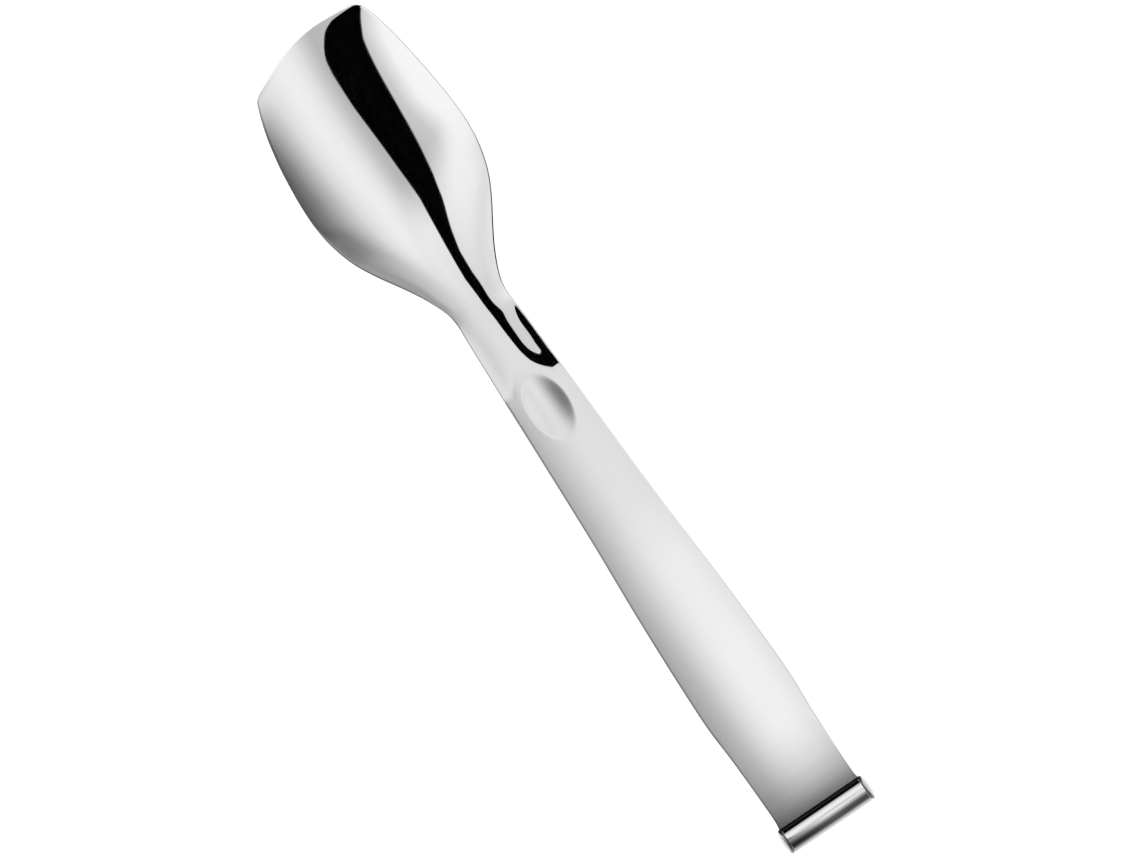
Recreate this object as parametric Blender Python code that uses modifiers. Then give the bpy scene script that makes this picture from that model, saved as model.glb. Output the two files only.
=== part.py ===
"""Bread tongs: two bowed steel arms with scoop jaws on a sprung barrel hinge.

The hinge axis is parallel to Y. The arms run towards +X and the lower arm lies on the
plane z = 0 on the straight stretch of its handle. Lengths are metres.
"""

import math

import bmesh
import bpy
from mathutils import Vector

MM = 0.001

# Driving dimensions of one arm, measured from the hinge axis
ARM_REACH = 227.0 * MM        # hinge axis to the foremost point of the jaw
ARM_START = 3.05 * MM         # where the sheet meets the barrel
ARM_RISE = 13.6 * MM          # outside of the handle above the plane where the jaws meet
NECK_X = 148.5 * MM           # narrowest place
HANDLE_WIDTH = 24.2 * MM
NECK_WIDTH = 14.8 * MM
JAW_WIDTH = 44.9 * MM
RIM_LIFT = 1.35 * MM          # outside of the jaw rim above the meeting plane
FLANK_STEP = 1.25 * MM        # height of the pressed step that fades out behind the neck
SHEET = 2.0 * MM              # sheet in the handle, thinned towards both ends
EDGE_ROUND = 0.28 * MM
TIP_SLANT = 0.152             # slope of the front edge across the jaw
TIP_BOW = 2.2 * MM            # bulge of the front edge

# Thumb hollow
DIMPLE_X = 118.6 * MM
DIMPLE_LENGTH = 17.6 * MM
DIMPLE_WIDTH = 10.4 * MM
DIMPLE_DEPTH = 1.45 * MM
DIMPLE_SOFTNESS = 1.35

# Hinge
OPEN_ANGLE = math.radians(12.0)
BARREL_RADIUS = 3.3 * MM
BARREL_WALL = 0.6 * MM
BARREL_LENGTH = 22.1 * MM
PIN_RADIUS = 1.1 * MM
RUNNING_GAP = 0.1 * MM
SEAT_GAP = 0.3 * MM
KNUCKLE_LENGTH = 4.9 * MM
TAB_THICKNESS = 1.1 * MM
TAB_ANGLE = math.radians(23.0)
SLOT_SIDE_GAP = 0.25 * MM
CAP_RIM = 0.25 * MM
CAP_DOME = 0.95 * MM
CAP_CHAMFER = 0.12 * MM
CAP_BORE_DEPTH = 0.55 * MM
PIN_END_GAP = 0.1 * MM
CUT_OVERRUN = 1.0 * MM

# Torsion spring
SPRING_WIRE = 1.1 * MM
SPRING_PITCH = 1.55 * MM      # aimed at, the turns fill the room between the knuckles
SPRING_SIDE_GAP = 0.95 * MM
SPRING_PIN_GAP = 0.3 * MM
SPRING_BEND = 0.75 * MM
POINTS_PER_TURN = 10
BEND_POINTS = 4

# Width between the neck and the handle's widest place: (share of the way, share of the gain)
HANDLE_WIDTH_SHARES = (
    (0.0, 0.86), (0.076, 0.85), (0.145, 0.885), (0.228, 1.0), (0.31, 0.945), (0.441, 0.785),
    (0.575, 0.545), (0.708, 0.36), (0.841, 0.19), (0.917, 0.085), (1.0, 0.0),
)
# Width between the neck and the jaw's widest place: (share of the way, share of the gain)
JAW_WIDTH_SHARES = (
    (0.0, 0.0), (0.035, 0.018), (0.078, 0.093), (0.142, 0.249), (0.206, 0.445), (0.27, 0.648),
    (0.335, 0.817), (0.398, 0.92), (0.462, 0.982), (0.526, 1.0), (0.59, 0.99), (0.655, 0.962),
    (0.717, 0.927), (0.778, 0.88), (0.842, 0.82), (0.91, 0.724), (0.972, 0.581), (1.0, 0.445),
)
# Outside of the arm along its middle: (share of the reach, share of the rise)
PROFILE_SHARES = (
    (0.0135, 0.146), (0.044, 0.449), (0.0705, 0.662), (0.106, 0.838), (0.141, 0.9375),
    (0.185, 0.985), (0.229, 1.0), (0.558, 1.0), (0.584, 0.989), (0.62, 0.962), (0.665, 0.925),
    (0.775, 0.835), (0.84, 0.763), (0.895, 0.668), (0.945, 0.52), (0.978, 0.345), (1.0, 0.2),
)
# Fall from the middle to the edge: (share of the reach, share of the height over the rim)
ARCH_SHARES = (
    (0.0135, 0.01), (0.06, 0.03), (0.12, 0.04), (0.54, 0.035), (0.566, 0.035), (0.584, 0.05),
    (0.606, 0.1), (0.628, 0.19), (0.655, 0.275), (0.686, 0.38), (0.72, 0.6), (0.75, 0.81),
    (0.785, 0.97), (0.81, 1.0), (1.0, 1.0),
)
# How ridged the section is: (share of the reach, ridge value)
RIDGE_SHARES = ((0.0, 0.6), (0.7, 0.7), (0.78, 1.3), (0.9, 0.6), (1.0, 0.5))
# Pressed step beside the middle: (share of the reach, share of the step's height)
STEP_SHARES = (
    (0.0, 0.0), (0.535, 0.0), (0.56, 0.35), (0.582, 0.9), (0.604, 1.0), (0.626, 0.7),
    (0.655, 0.25), (0.69, 0.0), (1.0, 0.0),
)
STEP_START_SHARE = 0.3
# Sheet thickness: (share of the reach, share of the handle's thickness)
SHEET_SHARES = (
    (0.0135, 0.62), (0.11, 1.0), (0.53, 1.0), (0.66, 0.8), (0.8, 0.66), (1.0, 0.55),
)
TIP_BLEND_SHARE = 0.87
# Rows of the loft: (share of the way from start to tip where a span ends, rows in it)
ROW_SPAN_SHARES = ((0.125, 8), (0.455, 7), (0.6, 20), (0.81, 13), (1.0, 14))
COLUMNS = 14
ROUND_STEPS = 32
DOME_STEPS = 5

STEEL_COLOUR = (0.78, 0.78, 0.78, 1.0)
SPRING_COLOUR = (0.45, 0.45, 0.46, 1.0)

BARREL_BORE = BARREL_RADIUS - BARREL_WALL
KNUCKLE_RADIUS = BARREL_BORE - RUNNING_GAP
KNUCKLE_BORE = PIN_RADIUS + RUNNING_GAP
COIL_RADIUS = PIN_RADIUS + SPRING_PIN_GAP + SPRING_WIRE / 2
COIL_LENGTH = BARREL_LENGTH - 2 * (KNUCKLE_LENGTH + SPRING_SIDE_GAP) - SPRING_WIRE
COIL_TURNS = round(COIL_LENGTH / SPRING_PITCH)
TAB_REACH = math.hypot(ARM_START, ARM_RISE * PROFILE_SHARES[0][1]) - SEAT_GAP


def clear_scene():
    for obj in list(bpy.data.objects):
        bpy.data.objects.remove(obj, do_unlink=True)


def new_collection(name):
    collection = bpy.data.collections.new(name)
    bpy.context.scene.collection.children.link(collection)
    return collection


def metal(name, colour, roughness):
    material = bpy.data.materials.new(name)
    material.use_nodes = True
    shader = material.node_tree.nodes["Principled BSDF"]
    shader.inputs["Base Color"].default_value = colour
    shader.inputs["Metallic"].default_value = 1.0
    shader.inputs["Roughness"].default_value = roughness
    material.diffuse_color = colour
    return material


def put(mesh, name, collection, material=None, parent=None):
    obj = bpy.data.objects.new(name, mesh)
    collection.objects.link(obj)
    if material:
        mesh.materials.clear()
        mesh.materials.append(material)
    if parent:
        obj.parent = parent
    return obj


def smooth_through(points, x):
    """Value at x of a curve through the points that never overshoots them."""
    if x <= points[0][0]:
        return points[0][1]
    if x >= points[-1][0]:
        return points[-1][1]
    steps = [(b[0] - a[0], (b[1] - a[1]) / (b[0] - a[0])) for a, b in zip(points, points[1:])]
    slopes = [steps[0][1]]
    for (before, rise_before), (after, rise_after) in zip(steps, steps[1:]):
        if rise_before * rise_after <= 0:
            slopes.append(0.0)
        else:
            near = 2 * after + before
            far = after + 2 * before
            slopes.append((near + far) / (near / rise_before + far / rise_after))
    slopes.append(steps[-1][1])
    for i, (width, _rise) in enumerate(steps):
        if x <= points[i + 1][0]:
            break
    t = (x - points[i][0]) / width
    start = points[i][1] * (1 + 2 * t) * (1 - t) ** 2 + points[i + 1][1] * t * t * (3 - 2 * t)
    bend = width * (slopes[i] * t * (1 - t) ** 2 - slopes[i + 1] * t * t * (1 - t))
    return start + bend


def smooth_step(t):
    t = min(max(t, 0.0), 1.0)
    return t * t * (3 - 2 * t)


def half_width(x):
    if x < NECK_X:
        gain = smooth_through(HANDLE_WIDTH_SHARES, (x - ARM_START) / (NECK_X - ARM_START))
        return (NECK_WIDTH + gain * (HANDLE_WIDTH - NECK_WIDTH)) / 2
    gain = smooth_through(JAW_WIDTH_SHARES, (x - NECK_X) / (last_row() - NECK_X))
    return (NECK_WIDTH + gain * (JAW_WIDTH - NECK_WIDTH)) / 2


def last_row():
    """Middle of the last row, so that the slanted, bulging edge just gets to the reach."""
    half = (NECK_WIDTH + JAW_WIDTH_SHARES[-1][1] * (JAW_WIDTH - NECK_WIDTH)) / 2
    foremost = TIP_SLANT * half / (2 * TIP_BOW)
    return ARM_REACH - TIP_SLANT * half * foremost - TIP_BOW * (1 - foremost ** 2)


def arch_fall(x, across, height):
    """Fall of the outside from the middle line, for across from 0 there to 1 at the edge."""
    share = x / ARM_REACH
    ridge = smooth_through(RIDGE_SHARES, share)
    arch = (math.sqrt(1 + (ridge * across) ** 2) - 1) / (math.sqrt(1 + ridge ** 2) - 1)
    depth = (height - RIM_LIFT) * smooth_through(ARCH_SHARES, share)
    step = FLANK_STEP * smooth_through(STEP_SHARES, share)
    return depth * arch + step * smooth_step((across - STEP_START_SHARE) / (1 - STEP_START_SHARE))


def dimple_fall(x, y):
    along = (x - DIMPLE_X) / (DIMPLE_LENGTH / 2)
    across = y / (DIMPLE_WIDTH / 2)
    inside = max(0.0, 1 - along ** 2 - across ** 2)
    return DIMPLE_DEPTH * inside ** DIMPLE_SOFTNESS


def outside_point(x_row, v):
    """Point on the outside of the upper arm, for v from -1 to 1 across the row."""
    half = half_width(x_row)
    blend = smooth_step((x_row / ARM_REACH - TIP_BLEND_SHARE) / (1 - TIP_BLEND_SHARE))
    y = v * half
    bow = TIP_BOW * blend
    height = ARM_RISE * smooth_through(PROFILE_SHARES, (x_row + bow) / ARM_REACH)
    x = x_row - blend * TIP_SLANT * y + bow * (1 - v * v)
    z = height - arch_fall(x_row, abs(v), height) - dimple_fall(x, y)
    return Vector((x, y, z))


def row_places():
    places = [ARM_START]
    span = last_row() - ARM_START
    start = 0.0
    for end, rows in ROW_SPAN_SHARES:
        for row in range(1, rows + 1):
            places.append(ARM_START + span * (start + (end - start) * row / rows))
        start = end
    return places


def make_arm(name, side, collection, material, pivot):
    """Arm pressed from sheet: side is 1 for the upper arm and -1 for its mirror image."""
    places = row_places()
    bm = bmesh.new()
    rows = []
    for place in places:
        row = []
        for column in range(COLUMNS + 1):
            point = outside_point(place, 2 * column / COLUMNS - 1)
            point.z *= side
            row.append(bm.verts.new(point))
        rows.append(row)
    for back, front in zip(rows, rows[1:]):
        for i in range(COLUMNS):
            corners = [back[i], front[i], front[i + 1], back[i + 1]]
            bm.faces.new(corners if side > 0 else reversed(corners))
    mesh = bpy.data.meshes.new(name)
    bm.to_mesh(mesh)
    bm.free()
    arm = put(mesh, name, collection, material, pivot)
    group = arm.vertex_groups.new(name="sheet")
    for index, place in enumerate(places):
        weight = smooth_through(SHEET_SHARES, place / ARM_REACH)
        first = index * (COLUMNS + 1)
        group.add(list(range(first, first + COLUMNS + 1)), weight, "REPLACE")
    solidify = arm.modifiers.new("sheet", "SOLIDIFY")
    solidify.thickness = SHEET
    solidify.offset = -1.0
    solidify.use_even_offset = True
    solidify.vertex_group = group.name
    bevel = arm.modifiers.new("edge", "BEVEL")
    bevel.width = EDGE_ROUND
    bevel.segments = 1
    bevel.limit_method = "ANGLE"
    bevel.angle_limit = math.radians(60)
    mesh.shade_smooth()
    return arm


def turned(name, profile, collection, material, parent):
    """Solid turned about its own Z axis from (radius, height) points, top to bottom."""
    mesh = bpy.data.meshes.new(name)
    edges = [(i, i + 1) for i in range(len(profile) - 1)]
    mesh.from_pydata([(radius, 0.0, height) for radius, height in profile], edges, [])
    obj = put(mesh, name, collection, material, parent)
    screw = obj.modifiers.new("turn", "SCREW")
    screw.steps = ROUND_STEPS
    screw.render_steps = ROUND_STEPS
    screw.use_merge_vertices = True
    screw.merge_threshold = 0.01 * MM
    screw.use_smooth_shade = True
    return obj


def cylinder(name, radius, length, collection, material=None, parent=None):
    bm = bmesh.new()
    bmesh.ops.create_cone(
        bm, cap_ends=True, segments=ROUND_STEPS, radius1=radius, radius2=radius, depth=length
    )
    mesh = bpy.data.meshes.new(name)
    bm.to_mesh(mesh)
    bm.free()
    obj = put(mesh, name, collection, material, parent)
    obj.rotation_euler.x = math.pi / 2
    mesh.shade_smooth()
    mesh.set_sharp_from_angle(angle=math.radians(40))
    return obj


def block(name, size, collection, parent=None):
    bm = bmesh.new()
    bmesh.ops.create_cube(bm, size=1.0)
    bmesh.ops.scale(bm, vec=size, verts=bm.verts)
    mesh = bpy.data.meshes.new(name)
    bm.to_mesh(mesh)
    bm.free()
    return put(mesh, name, collection, parent=parent)


def as_cutter(obj):
    obj.hide_render = True
    obj.display_type = "WIRE"
    return obj


def boolean(obj, other, operation):
    modifier = obj.modifiers.new(other.name, "BOOLEAN")
    modifier.operation = operation
    modifier.object = other


def make_barrel(parts, cutters, material, pivot):
    """Tube fixed to the upper arm, open along a slot where the lower arm's tabs go in."""
    barrel = cylinder("hinge_barrel", BARREL_RADIUS, BARREL_LENGTH, parts, material, pivot)
    cut_length = BARREL_LENGTH + 2 * CUT_OVERRUN
    bore = as_cutter(cylinder("barrel_bore", BARREL_BORE, cut_length, cutters, parent=pivot))
    swing = OPEN_ANGLE / 2
    width = 2 * (BARREL_RADIUS * math.sin(swing) + TAB_THICKNESS / 2 + SLOT_SIDE_GAP)
    slot = as_cutter(block("barrel_slot", (BARREL_RADIUS, cut_length, width), cutters, pivot))
    angle = TAB_ANGLE + swing
    reach = BARREL_RADIUS
    slot.location = (reach * math.cos(angle), 0.0, -reach * math.sin(angle))
    slot.rotation_euler.y = angle
    boolean(barrel, bore, "DIFFERENCE")
    boolean(barrel, slot, "DIFFERENCE")
    return barrel


def make_knuckle(name, y, parts, cutters, material, pivot):
    """Bored sleeve that turns on the pin, with the tab that carries the lower arm."""
    knuckle = cylinder(name, KNUCKLE_RADIUS, KNUCKLE_LENGTH, parts, material, pivot)
    knuckle.location.y = y
    inner = (KNUCKLE_BORE + KNUCKLE_RADIUS) / 2
    tab_size = (TAB_REACH - inner, KNUCKLE_LENGTH, TAB_THICKNESS)
    tab = as_cutter(block(name + "_tab", tab_size, cutters, pivot))
    middle = (TAB_REACH + inner) / 2
    tab.location = (middle * math.cos(TAB_ANGLE), y, -middle * math.sin(TAB_ANGLE))
    tab.rotation_euler.y = TAB_ANGLE
    cut_length = KNUCKLE_LENGTH + 2 * CUT_OVERRUN
    bore = as_cutter(cylinder(name + "_bore", KNUCKLE_BORE, cut_length, cutters, parent=pivot))
    bore.location.y = y
    boolean(knuckle, tab, "UNION")
    boolean(knuckle, bore, "DIFFERENCE")
    return knuckle


def make_cap(name, side, collection, material, pivot):
    """Domed disc on one end of the barrel, with a blind bore for the pin."""
    bore = PIN_RADIUS + RUNNING_GAP
    profile = []
    for step in range(DOME_STEPS + 1):
        angle = math.pi / 2 * (1 - step / DOME_STEPS)
        radius = BARREL_RADIUS * math.cos(angle) if step else 0.0
        profile.append((radius, CAP_RIM + CAP_DOME * math.sin(angle)))
    profile.append((BARREL_RADIUS, CAP_CHAMFER))
    profile.append((BARREL_RADIUS - CAP_CHAMFER, 0.0))
    profile.append((bore, 0.0))
    profile.append((bore, CAP_BORE_DEPTH))
    profile.append((0.0, CAP_BORE_DEPTH))
    cap = turned(name, profile, collection, material, pivot)
    cap.location.y = side * (BARREL_LENGTH / 2 + SEAT_GAP)
    cap.rotation_euler.x = -side * math.pi / 2
    return cap


def coil_path():
    """Points of the spring: a helix about Y whose ends bend out into the slot."""
    points = []
    exit_angle = -TAB_ANGLE
    lead = SPRING_BEND / COIL_RADIUS
    outer = TAB_REACH - SPRING_WIRE / 2
    count = COIL_TURNS * POINTS_PER_TURN
    first = exit_angle + lead
    turned_angle = 2 * math.pi * COIL_TURNS - 2 * lead
    half = COIL_LENGTH / 2

    def place(radius, angle, y):
        return Vector((radius * math.cos(angle), y, radius * math.sin(angle)))

    points.append(place(outer, exit_angle, -half))
    for step in range(BEND_POINTS):
        turn = math.pi / 2 * (1 - step / BEND_POINTS)
        radius = COIL_RADIUS + SPRING_BEND * (1 - math.cos(turn))
        points.append(place(radius, first - lead * math.sin(turn), -half))
    for step in range(count + 1):
        share = step / count
        points.append(place(COIL_RADIUS, first + turned_angle * share, -half + 2 * half * share))
    for step in range(1, BEND_POINTS + 1):
        turn = math.pi / 2 * step / BEND_POINTS
        radius = COIL_RADIUS + SPRING_BEND * (1 - math.cos(turn))
        points.append(place(radius, first + turned_angle + lead * math.sin(turn), half))
    points.append(place(outer, first + turned_angle + lead, half))
    return points


def least_coil_gap(points):
    """Least clear distance between one turn of the spring and the next."""
    body = points[BEND_POINTS + 1:-(BEND_POINTS + 1)]
    nearest = min(
        (a - b).length
        for i, a in enumerate(body)
        for b in body[i + POINTS_PER_TURN // 2:]
    )
    return nearest - SPRING_WIRE


def make_spring(name, collection, material, pivot):
    path = coil_path()
    print(f"least gap between the spring's turns: {least_coil_gap(path) / MM:.2f} mm")
    curve = bpy.data.curves.new(name, "CURVE")
    curve.dimensions = "3D"
    curve.bevel_depth = SPRING_WIRE / 2
    curve.bevel_resolution = 1
    curve.use_fill_caps = True
    spline = curve.splines.new("POLY")
    spline.points.add(len(path) - 1)
    for point, co in zip(spline.points, path):
        point.co = (*co, 1.0)
    return put(curve, name, collection, material, pivot)


def make_pivot(name, collection, angle, height):
    pivot = bpy.data.objects.new(name, None)
    collection.objects.link(pivot)
    pivot.location = ((BARREL_RADIUS - ARM_REACH) / 2, 0.0, height)
    pivot.rotation_euler.y = angle
    return pivot


def main():
    clear_scene()
    parts = new_collection("bread_tongs")
    cutters = new_collection("cutters")
    steel = metal("polished_steel", STEEL_COLOUR, 0.12)
    wire = metal("spring_steel", SPRING_COLOUR, 0.35)
    lower = make_pivot("lower_pivot", parts, 0.0, ARM_RISE)
    upper = make_pivot("upper_pivot", parts, -OPEN_ANGLE, ARM_RISE)

    make_arm("lower_arm", -1, parts, steel, lower)
    make_arm("upper_arm", 1, parts, steel, upper)
    make_barrel(parts, cutters, steel, upper)
    for name, side in (("end_cap_left", 1), ("end_cap_right", -1)):
        make_cap(name, side, parts, steel, upper)
    pin_length = BARREL_LENGTH + 2 * (SEAT_GAP + CAP_BORE_DEPTH - PIN_END_GAP)
    cylinder("hinge_pin", PIN_RADIUS, pin_length, parts, steel, upper)
    knuckle_y = (BARREL_LENGTH - KNUCKLE_LENGTH) / 2
    for name, side in (("knuckle_left", 1), ("knuckle_right", -1)):
        make_knuckle(name, side * knuckle_y, parts, cutters, steel, lower)
    make_spring("torsion_spring", parts, wire, lower)


main()
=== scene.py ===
"""Looks of the bread tongs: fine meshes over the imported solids, steel materials, light and camera.

Lengths are metres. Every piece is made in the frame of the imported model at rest.
"""

import math

import bmesh
import bpy
import numpy as np
from mathutils import Matrix, Vector

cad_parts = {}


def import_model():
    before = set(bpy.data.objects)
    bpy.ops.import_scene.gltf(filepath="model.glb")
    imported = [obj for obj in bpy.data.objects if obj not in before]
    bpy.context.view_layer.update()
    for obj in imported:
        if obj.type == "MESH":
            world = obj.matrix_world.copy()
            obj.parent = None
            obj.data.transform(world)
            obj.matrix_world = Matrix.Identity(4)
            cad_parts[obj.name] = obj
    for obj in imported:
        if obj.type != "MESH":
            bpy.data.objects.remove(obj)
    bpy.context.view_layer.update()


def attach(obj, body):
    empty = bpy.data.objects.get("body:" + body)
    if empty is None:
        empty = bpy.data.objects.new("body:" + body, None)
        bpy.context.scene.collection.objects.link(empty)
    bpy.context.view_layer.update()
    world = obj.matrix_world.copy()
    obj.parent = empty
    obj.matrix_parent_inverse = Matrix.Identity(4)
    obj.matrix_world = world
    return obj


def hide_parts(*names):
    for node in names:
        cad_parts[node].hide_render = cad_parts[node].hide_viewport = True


MM = 0.001

# Arm, measured from the hinge axis
ARM_REACH = 227.0 * MM
ARM_START = 3.05 * MM
SEAM_START = 2.75 * MM
ARM_RISE = 13.6 * MM
NECK_X = 148.5 * MM
HANDLE_WIDTH = 24.2 * MM
NECK_WIDTH = 14.8 * MM
JAW_WIDTH = 44.9 * MM
RIM_LIFT = 1.35 * MM
FLANK_STEP = 1.8 * MM
STEP_SKEW = 1.35
SHEET = 2.0 * MM
EDGE_ROUND = 0.45 * MM
REAR_ROUND = 0.12 * MM
REAR_EDGE = 3.2 * MM
# End of the near-black band on each arm's rear end: painted shade where arm and barrel meet
JOINT_SHADE_END = 3.85 * MM
TIP_SLANT = 0.175
TIP_BOW = 2.2 * MM
TIP_CORNER = 2.6 * MM
ROUNDING_REACH = 5 * EDGE_ROUND

DIMPLE_X = 120.9 * MM
DIMPLE_LENGTH = 17.6 * MM
DIMPLE_WIDTH = 10.4 * MM
DIMPLE_DEPTH = 1.45 * MM
DIMPLE_SOFTNESS = 1.25

# Hinge
OPEN_ANGLE = math.radians(12.0)
BARREL_RADIUS = 3.3 * MM
BARREL_WALL = 0.6 * MM
BARREL_LENGTH = 22.1 * MM
PIN_RADIUS = 1.1 * MM
RUNNING_GAP = 0.1 * MM
SEAT_GAP = 0.3 * MM
KNUCKLE_LENGTH = 4.9 * MM
TAB_THICKNESS = 1.1 * MM
TAB_ANGLE = math.radians(23.0)
SLOT_SIDE_GAP = 0.25 * MM
CAP_RIM = 0.25 * MM
CAP_DOME = 0.95 * MM
CAP_CHAMFER = 0.12 * MM
CAP_BORE_DEPTH = 0.55 * MM
CAP_NECK_INSET = 0.3 * MM
CAP_NECK_LENGTH = 0.25 * MM
PIN_END_GAP = 0.1 * MM
CUT_OVERRUN = 1.0 * MM
SPRING_WIRE = 1.1 * MM
SPRING_PITCH = 1.55 * MM
SPRING_SIDE_GAP = 0.95 * MM
SPRING_PIN_GAP = 0.3 * MM
SPRING_BEND = 0.75 * MM

# Tables of the arm: (share of the way or of the reach, share of the value)
HANDLE_WIDTH_SHARES = (
    (0.0, 0.86), (0.076, 0.85), (0.145, 0.885), (0.228, 1.0), (0.31, 0.945), (0.441, 0.785),
    (0.575, 0.545), (0.708, 0.36), (0.841, 0.19), (0.917, 0.085), (1.0, 0.0),
)
JAW_WIDTH_SHARES = (
    (0.0, 0.0), (0.035, 0.018), (0.078, 0.093), (0.142, 0.249), (0.206, 0.445), (0.27, 0.648),
    (0.335, 0.817), (0.398, 0.92), (0.462, 0.982), (0.526, 1.0), (0.59, 0.99), (0.655, 0.962),
    (0.717, 0.927), (0.778, 0.88), (0.842, 0.82), (0.91, 0.73), (0.972, 0.61), (1.0, 0.5),
)
PROFILE_SHARES = (
    (0.0135, 0.146), (0.044, 0.449), (0.0705, 0.662), (0.106, 0.838), (0.141, 0.9375),
    (0.185, 0.985), (0.229, 1.0), (0.558, 1.0), (0.584, 0.989), (0.62, 0.962), (0.665, 0.925),
    (0.775, 0.835), (0.84, 0.763), (0.895, 0.668), (0.945, 0.52), (0.978, 0.345), (1.0, 0.2),
    (1.015, 0.07),
)
ARCH_SHARES = (
    (0.0135, 0.01), (0.06, 0.03), (0.12, 0.04), (0.54, 0.03), (0.566, 0.008), (0.584, 0.004),
    (0.606, 0.004), (0.628, 0.03), (0.642, 0.1), (0.655, 0.22), (0.686, 0.38), (0.72, 0.6),
    (0.75, 0.81), (0.785, 0.97), (0.81, 1.0), (1.0, 1.0),
)
RIDGE_SHARES = ((0.0, 0.6), (0.7, 0.7), (0.78, 1.3), (0.9, 0.6), (1.0, 0.5))
STEP_SHARES = (
    (0.0, 0.0), (0.559, 0.0), (0.57, 0.15), (0.581, 0.5), (0.592, 0.88), (0.603, 1.0), (0.63, 0.9),
    (0.65, 0.45), (0.69, 0.0), (1.0, 0.0),
)
STEP_INNER_SHARES = ((0.0, 0.6), (0.566, 0.5), (0.578, 0.3), (0.6, 0.12), (0.64, 0.05), (1.0, 0.05))
STEP_OUTER_SHARES = (
    (0.0, 0.72), (0.566, 0.76), (0.578, 0.84), (0.59, 0.86), (0.625, 0.87), (0.65, 1.0), (1.0, 1.0),
)
SHEET_SHARES = (
    (0.0135, 0.62), (0.11, 1.0), (0.53, 1.0), (0.66, 0.8), (0.8, 0.66), (1.0, 0.55),
)
TIP_BLEND_SHARE = 0.87

# Reaches over which the tables are softened, and how far they go on past the arm
WIDTH_SOFTNESS = 1.2 * MM
PROFILE_SOFTNESS = 3.0 * MM
ARCH_SOFTNESS = 2.5 * MM
RIDGE_SOFTNESS = 4.0 * MM
STEP_SOFTNESS = 1.0 * MM
SHEET_SOFTNESS = 3.0 * MM
BELL_REACHES = 4
TABLE_LEAD = 1.0 * MM
TABLE_OVERRUN = 3.0 * MM

# Fineness of the meshes
TABLE_STEP = 0.05 * MM
NORMAL_STEP = 0.1 * MM
ROW_STEP = 0.6 * MM
FINE_COLUMNS = 72
CORNER_ROWS = 10
CORNER_TURN = math.radians(78)
RIM_STEPS = 4
TURN_STEPS = 96
DOME_STEPS = 12
COIL_POINTS = 24
BEND_POINTS = 8
WIRE_STEPS = 3
BEVEL_STEPS = 3
BEVEL_ANGLE = math.radians(50)
SHARP_ANGLE = math.radians(35)
EDGE_BREAK = 0.08 * MM
PIN_EDGE_BREAK = 0.1 * MM
MERGE_DISTANCE = 0.001 * MM

BARREL_BORE = BARREL_RADIUS - BARREL_WALL
KNUCKLE_RADIUS = BARREL_BORE - RUNNING_GAP
KNUCKLE_BORE = PIN_RADIUS + RUNNING_GAP
COIL_RADIUS = PIN_RADIUS + SPRING_PIN_GAP + SPRING_WIRE / 2
COIL_LENGTH = BARREL_LENGTH - 2 * (KNUCKLE_LENGTH + SPRING_SIDE_GAP) - SPRING_WIRE
COIL_TURNS = round(COIL_LENGTH / SPRING_PITCH)
TAB_REACH = math.hypot(SEAM_START, ARM_RISE * PROFILE_SHARES[0][1])

HINGE = Vector(((BARREL_RADIUS - ARM_REACH) / 2, 0.0, ARM_RISE))
LOWER = Matrix.Translation(HINGE)
UPPER = Matrix.Translation(HINGE) @ Matrix.Rotation(-OPEN_ANGLE, 4, "Y")


def smooth_through(points, x):
    """Values at x of a curve through the points that never overshoots them."""
    place, value = (np.array(column) for column in zip(*points))
    width = np.diff(place)
    rise = np.diff(value) / width
    slope = np.concatenate(([rise[0]], np.zeros(len(rise) - 1), [rise[-1]]))
    for i in range(1, len(rise)):
        if rise[i - 1] * rise[i] > 0:
            near = 2 * width[i] + width[i - 1]
            far = width[i] + 2 * width[i - 1]
            slope[i] = (near + far) / (near / rise[i - 1] + far / rise[i])
    i = np.clip(np.searchsorted(place, x) - 1, 0, len(width) - 1)
    t = np.clip((x - place[i]) / width[i], 0, 1)
    base = value[i] * (1 + 2 * t) * (1 - t) ** 2 + value[i + 1] * t * t * (3 - 2 * t)
    return base + width[i] * (slope[i] * t * (1 - t) ** 2 - slope[i + 1] * t * t * (1 - t))


def smooth_step(t):
    t = np.clip(t, 0, 1)
    return t * t * (3 - 2 * t)


def soften(values, reach):
    """The values averaged over a bell of that reach, so that reflections have no kinks."""
    half = int(BELL_REACHES * reach / TABLE_STEP)
    bell = np.exp(-0.5 * (np.arange(-half, half + 1) * TABLE_STEP / reach) ** 2)
    padded = np.pad(values, half, mode="reflect", reflect_type="odd")
    return np.convolve(padded, bell / bell.sum(), mode="valid")


def last_row():
    """Middle of the last row, so that the slanted, bulging edge just gets to the reach."""
    half = (NECK_WIDTH + JAW_WIDTH_SHARES[-1][1] * (JAW_WIDTH - NECK_WIDTH)) / 2
    foremost = TIP_SLANT * half / (2 * TIP_BOW)
    return ARM_REACH - TIP_SLANT * half * foremost - TIP_BOW * (1 - foremost ** 2)


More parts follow.
